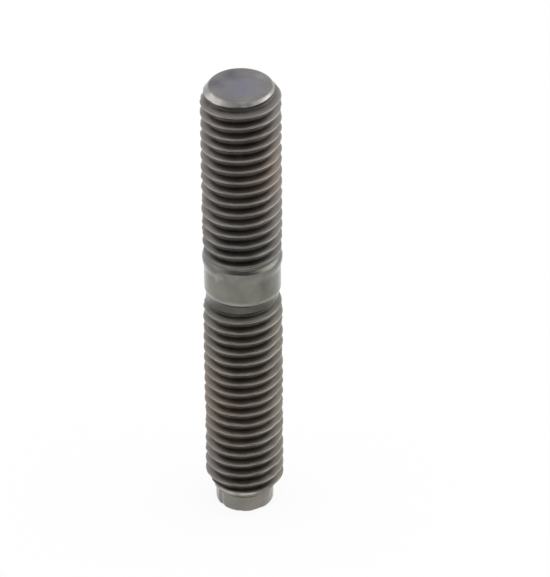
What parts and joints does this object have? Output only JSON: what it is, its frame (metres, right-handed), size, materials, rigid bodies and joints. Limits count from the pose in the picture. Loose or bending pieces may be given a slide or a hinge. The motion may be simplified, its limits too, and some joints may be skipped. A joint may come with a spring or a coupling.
{
  "type": "double ended stud",
  "caption": "Dark steel double ended stud with rolled threads at both ends, a short plain shank between them and a dog point that it stands on.",
  "frame": {"origin": "centre of the dog point's end face, which the stud stands on", "axes": "+Z along the stud's axis, from the dog point to the chamfered top face"},
  "size_m": [0.008, 0.008, 0.0496],
  "materials": {
    "steel": "dark rolled steel, satin, lightly oiled"
  },
  "bodies": {
    "root": {"stud": "steel"}
  },
  "joints": []
}
